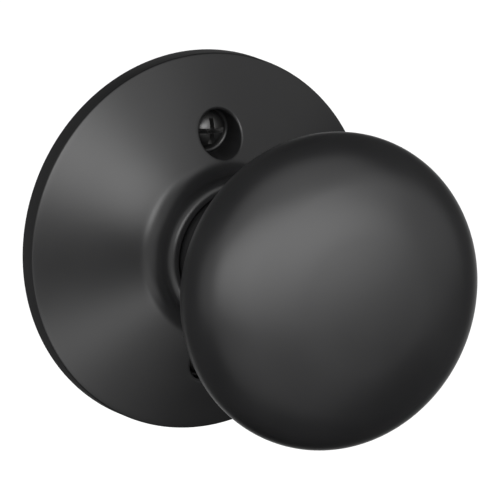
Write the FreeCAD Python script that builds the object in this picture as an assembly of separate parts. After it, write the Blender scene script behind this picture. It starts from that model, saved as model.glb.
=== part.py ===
import FreeCAD, Part
import math
import os

from FreeCAD import Vector

# Inside half of a through-bolted passage knob set, in millimetres.
# The origin is the centre of the rose's door face, on the knob's turning axis. The knob stands out
# along -Y, the spindle and the bolts run into the door along +Y, and +Z is up.
# Profiles are drawn as (radius from the axis, distance out from the door face).

# Rose: a drawn cover plate with a straight rim, a conical face and a raised neck
ROSE_R = 32.5
ROSE_WALL = 1.2
RIM_HEIGHT = 3.5
RIM_ROUND = 0.4
CONE_DEG = 23.6
NECK_R = 13.3
NECK_FILLET_R = 4.0
NECK_TOP = 17.0
LIP_ROUND = 1.6
LIP_INNER_ROUND = 0.2
NECK_BORE_R = 11.45
CRIMP_DEPTH = 0.3
CRIMP_REACH = 0.9
CRIMP_HALF_DEG = 4
CRIMPS_DEG = (45, 135, 225, 315)

# Screw wells pressed into the rose at 12 and 6 o'clock, and the bolts in them (No. 8-32)
BOLT_OFFSET = 19.45
WELL_R = 3.98
WELL_LIP_ROUND = 0.4
WELL_FLOOR = 4.1
WELL_BACK = WELL_FLOOR - ROSE_WALL
WELL_BOTTOM_ROUND = 0.6
BOLT_HOLE_R = 2.25
BOLT_R = 2.08
BOLT_NECK_R = 1.85
BOLT_NECK_LENGTH = 3.5
BOLT_LENGTH = 31.75
BOLT_HEAD_R = 3.3
BOLT_HEAD_HEIGHT = 2.2
BOLT_HEAD_ROUND = 0.25
BOLT_DOME_R = 3.73
BOLT_POINT = 0.8
CROSS_SPAN = 5.6
CROSS_WIDTH = 1.0
CROSS_DEPTH = 1.8
CROSS_TAPER = 0.45
SLOT_WIDTH = 0.8
SLOT_DEPTH = 1.2

# Mounting plate inside the rose
PLATE_BACK = 0.3
PLATE_FRONT = 1.5
PLATE_R = 31.2
BEAD_INNER_R = 26.0
BEAD_OUTER_R = 29.0
BEAD_RISE = 0.8
BEAD_SLOPE = 0.6

# Spring cage riveted to the plate
CAGE_R = 14.0
CAGE_WALL = 1.0
CAGE_TOP = 8.3
EAR_REACH = 20.5
EAR_HALF_WIDTH = 4.8
RIVET_X = 17.0
RIVET_Z = 2.6
RIVET_R = 1.4
RIVET_HEAD_R = 2.1
RIVET_HEAD_HEIGHT = 0.8
RIVET_HEAD_ROUND = 0.5
TAB_INNER_R = 12.0
TAB_HALF_DEG = 7
TAB_BACK = 4.4

# Turning limits: an ear on the driver meets a block in the cage
TURN_LIMIT_DEG = 60
STOP_SLACK_DEG = 1
STOP_HALF_DEG = 6
STOP_INNER_R = 11.9
STOP_TOP = 4.2
DRIVER_BACK = 2.7
DRIVER_FRONT = 3.9
DRIVER_R = 11.4
DRIVER_EAR_R = 12.7
DRIVER_EAR_HALF_DEG = 10
DRIVER_LUG_INNER_R = 10.6
DRIVER_LUG_TOP = 7.9

# Torsion return spring
SPRING_WIRE_R = 0.6
SPRING_MEAN_R = 9.3
SPRING_BACK = 4.9
SPRING_RISING_HALVES = 3
SPRING_HALF_RISE = 0.76
SPRING_BEND_R = 1.2
SPRING_LEG_TIP_R = 12.8
SPRING_LEG_DEG = 11.7
SPRING_TURNS = 2

# Shank: a sleeve on a cast core, bored square for the spindle
SHANK_R = 11.1
SLEEVE_INNER_R = 9.8
SLEEVE_BACK = 8.9
SLEEVE_FRONT = 35.0
CORE_FRONT = 40.0
TAIL_R = 8.0
TAIL_END = -4.2
TAIL_CHAMFER = 0.4
TAIL_FLAT = 7.0
GROOVE_R = 7.3
GROOVE_BACK = -3.3
GROOVE_FRONT = -2.3
SPINDLE_SIDE = 7.9
SPINDLE_SLACK = 0.1
SPINDLE_ROUND = 0.8
SPINDLE_END = -40.0
SPINDLE_FRONT = 24.0
SPINDLE_CHAMFER = 0.8
PIN_AT = 12.5
PIN_R = 1.5
PIN_BORE_R = 0.85
PIN_SLIT = 0.6
PIN_LENGTH = 21.8

# Bearings and end float
RUNNING_FIT = 0.05
NECK_BUSH_STEP_R = 12.7
NECK_BUSH_STEP = 11.0
NECK_BUSH_FLANGE_R = 13.9
NECK_BUSH_FLANGE = 1.0
TAIL_BUSH_R = 9.2
TAIL_BUSH_FLANGE_R = 11.0
TAIL_BUSH_FRONT = 2.5
TAIL_BUSH_BACK = -0.7
THRUST_WASHER_R = 10.6
THRUST_WASHER_FRONT = -0.75
THRUST_WASHER_BACK = -1.5
WAVE_WASHER_INNER_R = 8.2
WAVE_WASHER_R = 10.2
WAVE_WASHER_SHEET = 0.35
WAVE_WASHER_BOW_R = 130.0
WASHER_SLACK = 0.025
RING_R = 9.6
RING_BAND_R = 8.4
RING_HALF_DEG = 145
RING_TEETH_DEG = (90, 205, 335)
RING_TOOTH_HALF_DEG = 14
RING_SLACK = 0.05

# Knob: a ball flattened at the front, drawn with five tangent arcs
KNOB_R = 27.0
KNOB_WIDEST = 48.5
SHOULDER_R = 10.2
BACK_R = 22.4
BROW_R = 14.0
CHEEK_R = 32.0
FACE_R = 80.0
BACK_FROM_DEG = -25.0
BROW_FROM_DEG = 45.0
CHEEK_FROM_DEG = 66.0
KNOB_WALL = 1.0
SEAM_DEG = -50.0
SEAM_GAP_DEG = 0.4
FLANGE_END_DEG = -40.0
JOGGLE_DEG = 3.0

# Hub inside the knob, screwed to the shank core
HUB_BACK = 35.2
HUB_FRONT = 42.0
HUB_BOSS_R = 12.5
HUB_WEB = 3.0
HUB_RIM_DEG = 22
HUB_RIM_INNER_R = 22.8
HUB_RIM_GAP = 0.05
HUB_WINDOW_INNER_R = 15.0
HUB_WINDOW_OUTER_R = 21.0
HUB_WINDOWS = 6
HUB_WINDOW_HALF_DEG = 19
HUB_SCREW_R = 2.5
HUB_SCREW_END = 28.0
HUB_SCREW_HEAD_R = 4.6
HUB_SCREW_HEAD_HEIGHT = 3.2
HUB_SCREW_HOLE_R = 2.7
HUB_CROSS_SPAN = 5.0
HUB_CROSS_WIDTH = 1.3
HUB_CROSS_DEPTH = 2.0
HUB_WASHER_R = 5.0
HUB_WASHER_SHEET = 1.0
HUB_WASHER_SLIT = 0.8

OUT = Vector(0, -1, 0)
AXIS_POINT = Vector(0, 0, 0)
TURNING_AXIS = Vector(0, 1, 0)
CUT_PAST = 1.0
TOP_DEG = 90
BOTTOM_DEG = -90


def at(radius, out):
    """A profile point in the plane that is turned."""
    return Vector(radius, -out, 0)


def around(radius, degrees, out):
    """A point at an angle about the axis, counted from +X towards +Z."""
    turn = math.radians(degrees)
    return Vector(radius * math.cos(turn), -out, radius * math.sin(turn))


def shifted(centre, distance, degrees):
    """A profile point at a distance from a centre, at an angle from radially outward to the front."""
    turn = math.radians(degrees)
    return (centre[0] + distance * math.cos(turn), centre[1] + distance * math.sin(turn))


def bend(centre, radius, start_deg, end_deg):
    """Three points of a profile arc: its start, middle and end."""
    angles = (start_deg, (start_deg + end_deg) / 2, end_deg)
    return [at(*shifted(centre, radius, angle)) for angle in angles]


def turned(*steps):
    """A solid turned about the axis from (radius, out) points and bends, joined by straight lines."""
    runs = [step if isinstance(step, list) else [at(*step)] for step in steps]
    edges = []
    for run, following in zip(runs, runs[1:] + runs[:1]):
        if len(run) == 3:
            edges.append(Part.Arc(*run).toShape())
        if not run[-1].isEqual(following[0], 1e-6):
            edges.append(Part.LineSegment(run[-1], following[0]).toShape())
    return Part.Face(Part.Wire(edges)).revolve(AXIS_POINT, TURNING_AXIS, 360)


def rod(radius, back, front, x=0.0, z=0.0):
    """A round bar along the axis's direction, between two distances from the door face."""
    return Part.makeCylinder(radius, front - back, Vector(x, -back, z), OUT)


def ring(inner_radius, outer_radius, back, front):
    return rod(outer_radius, back, front).cut(rod(inner_radius, back - CUT_PAST, front + CUT_PAST))


def block(width, height, back, front, x=0.0, z=0.0):
    """A rectangular bar along the axis's direction, centred on (x, z)."""
    corner = Vector(x - width / 2, -front, z - height / 2)
    return Part.makeBox(width, front - back, height, corner)


def sector(inner_radius, outer_radius, back, front, middle_deg, half_deg):
    """A piece of a ring, centred on an angle about the axis."""
    start, end = middle_deg - half_deg, middle_deg + half_deg
    outer = [around(outer_radius, angle, back) for angle in (start, middle_deg, end)]
    inner = [around(inner_radius, angle, back) for angle in (end, middle_deg, start)]
    edges = [
        Part.Arc(*outer).toShape(),
        Part.LineSegment(outer[-1], inner[0]).toShape(),
        Part.Arc(*inner).toShape(),
        Part.LineSegment(inner[-1], outer[0]).toShape(),
    ]
    return Part.Face(Part.Wire(edges)).extrude(OUT * (front - back))


def cross_recess(span, width, top, depth, z=0.0):
    """A screw's cross slot: two tapered blades that meet at the middle."""

    def oblong(across, up, out):
        corners = [(-1, -1), (1, -1), (1, 1), (-1, 1), (-1, -1)]
        return Part.makePolygon([Vector(i * across / 2, -out, z + j * up / 2) for i, j in corners])

    blades = []
    for across, up in ((span, width), (width, span)):
        mouth = oblong(across, up, top)
        floor = oblong(across * CROSS_TAPER, up * CROSS_TAPER, top - depth)
        blades.append(Part.makeLoft([mouth, floor], True, True))
    return blades[0].fuse(blades[1])


# Knob profile, worked out so that neighbouring arcs share their end tangents

SHOULDER_CENTRE = (KNOB_R - SHOULDER_R, KNOB_WIDEST)
BACK_CENTRE = shifted(SHOULDER_CENTRE, SHOULDER_R - BACK_R, BACK_FROM_DEG)
BROW_CENTRE = shifted(SHOULDER_CENTRE, SHOULDER_R - BROW_R, BROW_FROM_DEG)
CHEEK_CENTRE = shifted(BROW_CENTRE, BROW_R - CHEEK_R, CHEEK_FROM_DEG)
FACE_FROM_DEG = math.degrees(math.acos(CHEEK_CENTRE[0] / (FACE_R - CHEEK_R)))
FACE_CENTRE = shifted(CHEEK_CENTRE, CHEEK_R - FACE_R, FACE_FROM_DEG)


def back_angle_at(radius, inset):
    """Where the back arc, moved inwards by inset, comes down to a radius."""
    return -math.degrees(math.acos((radius - BACK_CENTRE[0]) / (BACK_R - inset)))


def knob_front_shell():
    """Face, cheek, brow, shoulder and the front of the back, in one drawn shell."""
    outside = [
        bend(FACE_CENTRE, FACE_R, 90, FACE_FROM_DEG),
        bend(CHEEK_CENTRE, CHEEK_R, FACE_FROM_DEG, CHEEK_FROM_DEG),
        bend(BROW_CENTRE, BROW_R, CHEEK_FROM_DEG, BROW_FROM_DEG),
        bend(SHOULDER_CENTRE, SHOULDER_R, BROW_FROM_DEG, BACK_FROM_DEG),
        bend(BACK_CENTRE, BACK_R, BACK_FROM_DEG, SEAM_DEG),
    ]
    inside = [
        bend(BACK_CENTRE, BACK_R - KNOB_WALL, SEAM_DEG, BACK_FROM_DEG),
        bend(SHOULDER_CENTRE, SHOULDER_R - KNOB_WALL, BACK_FROM_DEG, BROW_FROM_DEG),
        bend(BROW_CENTRE, BROW_R - KNOB_WALL, BROW_FROM_DEG, CHEEK_FROM_DEG),
        bend(CHEEK_CENTRE, CHEEK_R - KNOB_WALL, CHEEK_FROM_DEG, FACE_FROM_DEG),
        bend(FACE_CENTRE, FACE_R - KNOB_WALL, FACE_FROM_DEG, 90),
    ]
    return turned(*outside, *inside)


def knob_back_shell():
    """The rest of the back, with a flange inside the front shell and a collar on the shank."""
    cap_edge = SEAM_DEG - SEAM_GAP_DEG
    collar_r = SHANK_R + KNOB_WALL
    return turned(
        bend(BACK_CENTRE, BACK_R, cap_edge, back_angle_at(SHANK_R, 0)),
        (SHANK_R, SLEEVE_FRONT),
        (collar_r, SLEEVE_FRONT),
        bend(BACK_CENTRE, BACK_R - KNOB_WALL, back_angle_at(collar_r, KNOB_WALL), cap_edge - JOGGLE_DEG),
        bend(BACK_CENTRE, BACK_R - 2 * KNOB_WALL, cap_edge + JOGGLE_DEG / 3, FLANGE_END_DEG),
        bend(BACK_CENTRE, BACK_R - KNOB_WALL, FLANGE_END_DEG, cap_edge),
    )


def knob_hub():
    """A cast spider that carries the front shell on its crowned rim."""
    rim = bend(
        SHOULDER_CENTRE, SHOULDER_R - KNOB_WALL - HUB_RIM_GAP, -HUB_RIM_DEG, HUB_RIM_DEG
    )
    rim_back, rim_front = -rim[0].y, -rim[-1].y
    hub = turned(
        (SLEEVE_INNER_R, HUB_BACK),
        (HUB_BOSS_R, HUB_BACK),
        (HUB_BOSS_R, HUB_FRONT - HUB_WEB),
        (HUB_RIM_INNER_R, rim_back),
        rim,
        (HUB_RIM_INNER_R, rim_front),
        (HUB_RIM_INNER_R, rim_back + HUB_WEB),
        (HUB_BOSS_R, HUB_FRONT),
        (HUB_SCREW_HOLE_R, HUB_FRONT),
        (HUB_SCREW_HOLE_R, CORE_FRONT),
        (SLEEVE_INNER_R, CORE_FRONT),
    )
    for count in range(HUB_WINDOWS):
        middle = TOP_DEG + count * 360 / HUB_WINDOWS
        window = sector(
            HUB_WINDOW_INNER_R, HUB_WINDOW_OUTER_R, HUB_BACK, rim_front, middle, HUB_WINDOW_HALF_DEG
        )
        hub = hub.cut(window)
    return hub


def hub_screw():
    seat = HUB_FRONT + HUB_WASHER_SHEET
    head_top = seat + HUB_SCREW_HEAD_HEIGHT
    head = rod(HUB_SCREW_HEAD_R, seat, head_top)
    screw = head.fuse(rod(HUB_SCREW_R, HUB_SCREW_END, seat))
    return screw.cut(cross_recess(HUB_CROSS_SPAN, HUB_CROSS_WIDTH, head_top, HUB_CROSS_DEPTH))


def hub_washer():
    """A split lock washer."""
    front = HUB_FRONT + HUB_WASHER_SHEET
    washer = ring(HUB_SCREW_HOLE_R, HUB_WASHER_R, HUB_FRONT, front)
    middle = (HUB_SCREW_R + HUB_WASHER_R) / 2
    return washer.cut(block(HUB_WASHER_SLIT, HUB_WASHER_R, HUB_FRONT, front, z=middle))


def cross_pin_hole(radius):
    """A hole across the shank, along X."""
    reach = SHANK_R + CUT_PAST
    return Part.makeCylinder(radius, 2 * reach, Vector(-reach, -PIN_AT, 0), Vector(1, 0, 0))


def shank_sleeve():
    return ring(SLEEVE_INNER_R, SHANK_R, SLEEVE_BACK, SLEEVE_FRONT).cut(cross_pin_hole(PIN_R))


def shank_core():
    """Cast core: keyed tail with a ring groove, square spindle bore, tapped front end."""
    core = turned(
        (0, TAIL_END),
        (TAIL_R - TAIL_CHAMFER, TAIL_END),
        (TAIL_R, TAIL_END + TAIL_CHAMFER),
        (TAIL_R, GROOVE_BACK),
        (GROOVE_R, GROOVE_BACK),
        (GROOVE_R, GROOVE_FRONT),
        (TAIL_R, GROOVE_FRONT),
        (TAIL_R, SLEEVE_BACK),
        (SLEEVE_INNER_R, SLEEVE_BACK),
        (SLEEVE_INNER_R, CORE_FRONT),
        (0, CORE_FRONT),
    )
    for side in (-1, 1):
        depth = TAIL_R - TAIL_FLAT
        middle = side * (TAIL_FLAT + depth / 2)
        core = core.cut(block(depth, 2 * TAIL_R, TAIL_END, DRIVER_FRONT, x=middle))
    bore = SPINDLE_SIDE + SPINDLE_SLACK
    core = core.cut(block(bore, bore, TAIL_END, SPINDLE_FRONT + SPINDLE_SLACK))
    core = core.cut(rod(HUB_SCREW_R, HUB_SCREW_END - CUT_PAST, CORE_FRONT))
    return core.cut(cross_pin_hole(PIN_R))


def spindle():
    bar = block(SPINDLE_SIDE, SPINDLE_SIDE, SPINDLE_END, SPINDLE_FRONT)
    long_edges = [edge for edge in bar.Edges if edge.Length > SPINDLE_FRONT]
    bar = bar.makeFillet(SPINDLE_ROUND, long_edges)
    # Both ends are pointed by a cone that takes off the corners.
    half_corner = SPINDLE_SIDE / math.sqrt(2)
    pointed = turned(
        (0, SPINDLE_END),
        (half_corner - 2 * SPINDLE_CHAMFER, SPINDLE_END),
        (half_corner, SPINDLE_END + 2 * SPINDLE_CHAMFER),
        (half_corner, SPINDLE_FRONT - 2 * SPINDLE_CHAMFER),
        (half_corner - 2 * SPINDLE_CHAMFER, SPINDLE_FRONT),
        (0, SPINDLE_FRONT),
    )
    return bar.common(pointed).cut(cross_pin_hole(PIN_R))


def spindle_pin():
    """A slotted spring pin that ties sleeve, core and spindle together."""
    start = Vector(-PIN_LENGTH / 2, -PIN_AT, 0)
    along = Vector(1, 0, 0)
    pin = Part.makeCylinder(PIN_R, PIN_LENGTH, start, along)
    pin = pin.cut(Part.makeCylinder(PIN_BORE_R, PIN_LENGTH, start, along))
    slit_corner = Vector(-PIN_LENGTH / 2, -PIN_AT - PIN_SLIT / 2, 0)
    return pin.cut(Part.makeBox(PIN_LENGTH, PIN_SLIT, PIN_R, slit_corner))


def spring_driver():
    """A stamped plate keyed on the tail: a bent lug for the spring and an ear for the stops."""
    plate = rod(DRIVER_R, DRIVER_BACK, DRIVER_FRONT)
    ear = sector(
        TAIL_R, DRIVER_EAR_R, DRIVER_BACK, DRIVER_FRONT, BOTTOM_DEG, DRIVER_EAR_HALF_DEG
    )
    lug = sector(
        DRIVER_LUG_INNER_R, DRIVER_R, DRIVER_FRONT, DRIVER_LUG_TOP, TOP_DEG, TAB_HALF_DEG
    )
    key = rod(TAIL_R, DRIVER_BACK, DRIVER_FRONT).common(
        block(2 * TAIL_FLAT, 2 * TAIL_R, DRIVER_BACK, DRIVER_FRONT)
    )
    return plate.fuse([ear, lug]).cut(key).removeSplitter()


def thrust_washer():
    return ring(TAIL_R + RUNNING_FIT, THRUST_WASHER_R, THRUST_WASHER_BACK, THRUST_WASHER_FRONT)


def wave_washer():
    """A washer bowed about X, between the thrust washer and the retaining ring."""
    crown = THRUST_WASHER_BACK - WASHER_SLACK
    outer_bow_r = WAVE_WASHER_BOW_R + WAVE_WASHER_SHEET
    length = 4 * WAVE_WASHER_R
    start = Vector(-length / 2, -(crown - outer_bow_r), 0)
    along = Vector(1, 0, 0)
    sheet = Part.makeCylinder(outer_bow_r, length, start, along)
    sheet = sheet.cut(Part.makeCylinder(WAVE_WASHER_BOW_R, length, start, along))
    return sheet.common(ring(WAVE_WASHER_INNER_R, WAVE_WASHER_R, GROOVE_BACK, crown + CUT_PAST))


def retaining_ring():
    """An E-ring: an open band with three teeth in the groove."""
    back, front = GROOVE_BACK + RING_SLACK, GROOVE_FRONT - RING_SLACK
    band = sector(RING_BAND_R, RING_R, back, front, TOP_DEG, RING_HALF_DEG)
    teeth = [
        sector(GROOVE_R, RING_BAND_R, back, front, middle, RING_TOOTH_HALF_DEG)
        for middle in RING_TEETH_DEG
    ]
    return band.fuse(teeth).removeSplitter()


def tail_bushing():
    return turned(
        (TAIL_R + RUNNING_FIT, TAIL_BUSH_BACK),
        (TAIL_BUSH_FLANGE_R, TAIL_BUSH_BACK),
        (TAIL_BUSH_FLANGE_R, PLATE_BACK),
        (TAIL_BUSH_R, PLATE_BACK),
        (TAIL_BUSH_R, TAIL_BUSH_FRONT),
        (TAIL_R + RUNNING_FIT, TAIL_BUSH_FRONT),
    )


def neck_bushing():
    """A flanged sleeve, held between the rose's neck and the top of the spring cage."""
    bore = SHANK_R + RUNNING_FIT
    outer_r = NECK_R - ROSE_WALL
    top = NECK_TOP - ROSE_WALL
    flange_top = CAGE_TOP + NECK_BUSH_FLANGE
    return turned(
        (bore, CAGE_TOP),
        (NECK_BUSH_FLANGE_R, CAGE_TOP),
        (NECK_BUSH_FLANGE_R, flange_top),
        (NECK_BUSH_STEP_R, flange_top),
        (NECK_BUSH_STEP_R, NECK_BUSH_STEP),
        (outer_r, NECK_BUSH_STEP + NECK_BUSH_STEP_R - outer_r),
        (outer_r, top),
        (bore, top),
    )


def wire_bend(centre, start, heading, sweep):
    """A path arc from a start, turning towards its heading. Returns the edge, its end and its end heading."""
    spoke = start - centre
    turning = spoke.cross(heading)
    points = [centre + FreeCAD.Rotation(turning, sweep * part).multVec(spoke) for part in (0, 0.5, 1)]
    return Part.Arc(*points).toShape(), points[-1], FreeCAD.Rotation(turning, sweep).multVec(heading)


def return_spring():
    """A coil of level and rising arcs about the tail, with a leg out on each side of the fixed tab."""
    bend_r = SPRING_BEND_R
    lead_deg = SPRING_LEG_DEG + math.degrees(bend_r / (SPRING_MEAN_R + bend_r))
    level_deg = (360 * SPRING_TURNS - 180 * SPRING_RISING_HALVES - 2 * lead_deg) / 2
    start_deg = TOP_DEG + lead_deg
    outward = around(1, start_deg, 0)
    heading = around(1, start_deg + 90, 0)
    coil_start = around(SPRING_MEAN_R, start_deg, SPRING_BACK)
    bend_centre = coil_start + outward * bend_r
    leg_root = bend_centre - heading * bend_r
    leg_tip = leg_root + outward * (SPRING_LEG_TIP_R - SPRING_MEAN_R - bend_r)
    edges = [Part.LineSegment(leg_tip, leg_root).toShape()]
    edge, end, heading = wire_bend(bend_centre, leg_root, -outward, 90)
    edges.append(edge)
    out = SPRING_BACK
    rises = [0] + [SPRING_HALF_RISE] * SPRING_RISING_HALVES + [0]
    for rise in rises:
        sweep = 180 if rise else level_deg
        edge, end, heading = wire_bend(around(0, 0, out + rise / 2), end, heading, sweep)
        edges.append(edge)
        out += rise
    outward = Vector(end.x, 0, end.z).normalize()
    edge, end, heading = wire_bend(end + outward * bend_r, end, heading, 90)
    edges.append(edge)
    leg_tip = end + outward * (SPRING_LEG_TIP_R - SPRING_MEAN_R - bend_r)
    edges.append(Part.LineSegment(end, leg_tip).toShape())
    first = edges[0].Vertexes[0].Point
    along = edges[0].Vertexes[1].Point - first
    section = Part.Wire(Part.makeCircle(SPRING_WIRE_R, first, along))
    return Part.Wire(edges).makePipeShell([section], True, False)


def spring_cage():
    """A cup with two riveted ears, the fixed spring tab and the two stop blocks."""
    inner_r = CAGE_R - CAGE_WALL
    floor = PLATE_FRONT + CAGE_WALL
    cage = turned(
        (TAIL_BUSH_R, PLATE_FRONT),
        (CAGE_R, PLATE_FRONT),
        (CAGE_R, CAGE_TOP),
        (inner_r, CAGE_TOP),
        (inner_r, floor),
        (TAIL_BUSH_R, floor),
    )
    lap = CAGE_WALL / 2
    ears = []
    for side in (-1, 1):
        straight = EAR_REACH - EAR_HALF_WIDTH
        length = straight - inner_r
        middle = side * (inner_r + length / 2)
        ears.append(block(length, 2 * EAR_HALF_WIDTH, PLATE_FRONT, floor, x=middle))
        ears.append(rod(EAR_HALF_WIDTH, PLATE_FRONT, floor, x=side * straight))
    swing = TURN_LIMIT_DEG + DRIVER_EAR_HALF_DEG + STOP_SLACK_DEG + STOP_HALF_DEG
    inside = [sector(TAB_INNER_R, inner_r + lap, TAB_BACK, CAGE_TOP, TOP_DEG, TAB_HALF_DEG)]
    for side in (-1, 1):
        middle = BOTTOM_DEG + side * swing
        inside.append(sector(STOP_INNER_R, inner_r + lap, floor, STOP_TOP, middle, STOP_HALF_DEG))
    cage = cage.fuse(ears + inside).removeSplitter()
    for x, z in rivet_places():
        cage = cage.cut(rod(RIVET_R, PLATE_FRONT, floor, x, z))
    return cage


def rivet_places():
    return [(x, z) for x in (-RIVET_X, RIVET_X) for z in (-RIVET_Z, RIVET_Z)]


def cage_rivets():
    floor = PLATE_FRONT + CAGE_WALL
    rivets = []
    for x, z in rivet_places():
        head = rod(RIVET_HEAD_R, floor, floor + RIVET_HEAD_HEIGHT, x, z)
        top_edge = min(head.Edges, key=lambda edge: edge.BoundBox.YMin)
        head = head.makeFillet(RIVET_HEAD_ROUND, [top_edge])
        rivets.append(head.fuse(rod(RIVET_R, PLATE_BACK, floor, x, z)))
    return Part.makeCompound(rivets)


def mounting_plate():
    """A stamped disc with a stiffening bead and two raised seats for the rose's screw wells."""
    plate = turned(
        (TAIL_BUSH_R, PLATE_BACK),
        (BEAD_INNER_R - BEAD_SLOPE / 2, PLATE_BACK),
        (BEAD_INNER_R + BEAD_SLOPE / 2, PLATE_BACK + BEAD_RISE),
        (BEAD_OUTER_R - BEAD_SLOPE / 2, PLATE_BACK + BEAD_RISE),
        (BEAD_OUTER_R + BEAD_SLOPE / 2, PLATE_BACK),
        (PLATE_R, PLATE_BACK),
        (PLATE_R, PLATE_FRONT),
        (BEAD_OUTER_R + BEAD_SLOPE, PLATE_FRONT),
        (BEAD_OUTER_R, PLATE_FRONT + BEAD_RISE),
        (BEAD_INNER_R, PLATE_FRONT + BEAD_RISE),
        (BEAD_INNER_R - BEAD_SLOPE, PLATE_FRONT),
        (TAIL_BUSH_R, PLATE_FRONT),
    )
    for x, z in rivet_places():
        plate = plate.cut(rod(RIVET_R, PLATE_BACK, PLATE_FRONT, x, z))
    for side in (-1, 1):
        z = side * BOLT_OFFSET
        plate = plate.fuse(rod(WELL_R + ROSE_WALL, PLATE_BACK, WELL_BACK, z=z))
        plate = plate.cut(rod(WELL_R, PLATE_BACK, WELL_BACK - (PLATE_FRONT - PLATE_BACK), z=z))
        plate = plate.cut(rod(BOLT_HOLE_R, PLATE_BACK, WELL_BACK, z=z))
    return plate.removeSplitter()


def bolt_head(seat, top):
    """A domed head with a softened edge."""
    dome_centre = (0, top - BOLT_DOME_R)
    edge_reach = BOLT_DOME_R - BOLT_HEAD_ROUND
    tilt_deg = math.degrees(math.acos((BOLT_HEAD_R - BOLT_HEAD_ROUND) / edge_reach))
    return turned(
        (0, seat),
        (BOLT_HEAD_R, seat),
        bend(shifted(dome_centre, edge_reach, tilt_deg), BOLT_HEAD_ROUND, 0, tilt_deg),
        bend(dome_centre, BOLT_DOME_R, tilt_deg, 90),
    )


def through_bolts():
    """Two round-headed machine screws, each with a cross recess and a slot across the head."""
    seat = WELL_FLOOR
    top = seat + BOLT_HEAD_HEIGHT
    bolts = []
    for side in (-1, 1):
        z = side * BOLT_OFFSET
        head = bolt_head(seat, top)
        head.translate(Vector(0, 0, z))
        shank = rod(BOLT_R, seat - BOLT_LENGTH, seat - BOLT_NECK_LENGTH, z=z)
        tip_edge = max(shank.Edges, key=lambda edge: edge.BoundBox.YMin)
        shank = shank.makeChamfer(BOLT_POINT, [tip_edge])
        neck = rod(BOLT_NECK_R, seat - BOLT_NECK_LENGTH, seat, z=z)
        bolt = head.fuse([neck, shank])
        bolt = bolt.cut(cross_recess(CROSS_SPAN, CROSS_WIDTH, top, CROSS_DEPTH, z=z))
        bolts.append(bolt.cut(block(2 * BOLT_HEAD_R, SLOT_WIDTH, top - SLOT_DEPTH, top, z=z)))
    return Part.makeCompound(bolts)


def rose():
    """Rim, cone, filleted neck with an inturned lip, and two screw wells pressed inwards."""
    slope = math.radians(CONE_DEG)
    outward_deg = 90 - CONE_DEG

    def on_cone(radius, inset):
        """Where the cone, moved inwards by inset, is at a radius."""
        return RIM_HEIGHT + ((ROSE_R - radius) * math.sin(slope) - inset) / math.cos(slope)

    rim_centre_r = ROSE_R - RIM_ROUND
    rim_centre = (rim_centre_r, on_cone(rim_centre_r, RIM_ROUND))
    fillet_centre_r = NECK_R + NECK_FILLET_R
    fillet_centre = (fillet_centre_r, on_cone(fillet_centre_r, -NECK_FILLET_R))
    lip_centre = (NECK_R - LIP_ROUND, NECK_TOP - LIP_ROUND)
    mouth_centre = (NECK_BORE_R + LIP_INNER_ROUND, NECK_TOP - LIP_INNER_ROUND)
    outside = [
        (ROSE_R, 0),
        bend(rim_centre, RIM_ROUND, 0, outward_deg),
        bend(fillet_centre, NECK_FILLET_R, outward_deg - 180, -180),
        bend(lip_centre, LIP_ROUND, 0, 90),
    ]
    inner_rim_r = ROSE_R - ROSE_WALL
    inner_neck_r = NECK_R - ROSE_WALL
    inside = [
        bend(mouth_centre, LIP_INNER_ROUND, 90, 180),
        (NECK_BORE_R, NECK_TOP - ROSE_WALL),
        (inner_neck_r, NECK_TOP - ROSE_WALL),
        bend(fillet_centre, NECK_FILLET_R + ROSE_WALL, -180, outward_deg - 180),
        (inner_rim_r, on_cone(inner_rim_r, ROSE_WALL)),
        (inner_rim_r, 0),
    ]
    shell = turned(*outside, *inside)
    filled = turned(*outside, (0, NECK_TOP), (0, 0))
    crimp_from, crimp_to = inner_rim_r - CRIMP_REACH, inner_rim_r + ROSE_WALL / 2
    crimps = [
        sector(crimp_from, crimp_to, 0, CRIMP_DEPTH, middle, CRIMP_HALF_DEG) for middle in CRIMPS_DEG
    ]
    shell = shell.fuse(crimps)
    for side in (-1, 1):
        z = side * BOLT_OFFSET
        well = cup(WELL_R + ROSE_WALL, WELL_BACK, NECK_TOP, WELL_BOTTOM_ROUND + ROSE_WALL, z)
        hollow = cup(WELL_R, WELL_FLOOR, NECK_TOP + CUT_PAST, WELL_BOTTOM_ROUND, z)
        shell = shell.fuse(well.common(filled)).cut(hollow)
        shell = shell.cut(rod(BOLT_HOLE_R, WELL_BACK, WELL_FLOOR, z=z))
    shell = shell.removeSplitter()
    return shell.makeFillet(WELL_LIP_ROUND, well_mouths(shell))


def cup(radius, back, front, rounding, z):
    """A round bar whose back edge is rounded, as the bottom of a drawn cup is."""
    bar = rod(radius, back, front, z=z)
    back_edge = max(bar.Edges, key=lambda edge: edge.BoundBox.YMin)
    return bar.makeFillet(rounding, [back_edge])


def well_mouths(shell):
    """The edges where the wells open on the cone."""
    mouths = []
    for edge in shell.Edges:
        middle = edge.valueAt((edge.FirstParameter + edge.LastParameter) / 2)
        beside = abs(math.hypot(middle.x, abs(middle.z) - BOLT_OFFSET) - WELL_R) < 0.01
        straight = edge.BoundBox.XLength < WELL_R
        if beside and not straight and edge.BoundBox.YMin < -(WELL_FLOOR + WELL_R):
            mouths.append(edge)
    return mouths


NODES = [
    rose,
    mounting_plate,
    spring_cage,
    cage_rivets,
    return_spring,
    neck_bushing,
    tail_bushing,
    through_bolts,
    knob_front_shell,
    knob_back_shell,
    knob_hub,
    hub_screw,
    hub_washer,
    shank_sleeve,
    shank_core,
    spindle,
    spindle_pin,
    spring_driver,
    thrust_washer,
    wave_washer,
    retaining_ring,
]

os.makedirs("parts", exist_ok=True)
for make in NODES:
    shape = make()
    if not shape.isValid() or shape.Volume <= 0:
        raise RuntimeError(make.__name__ + " isn't a valid solid")
    shape.exportStep("parts/" + make.__name__ + ".step")
    print(make.__name__, len(shape.Solids), round(shape.Volume, 1))
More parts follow.
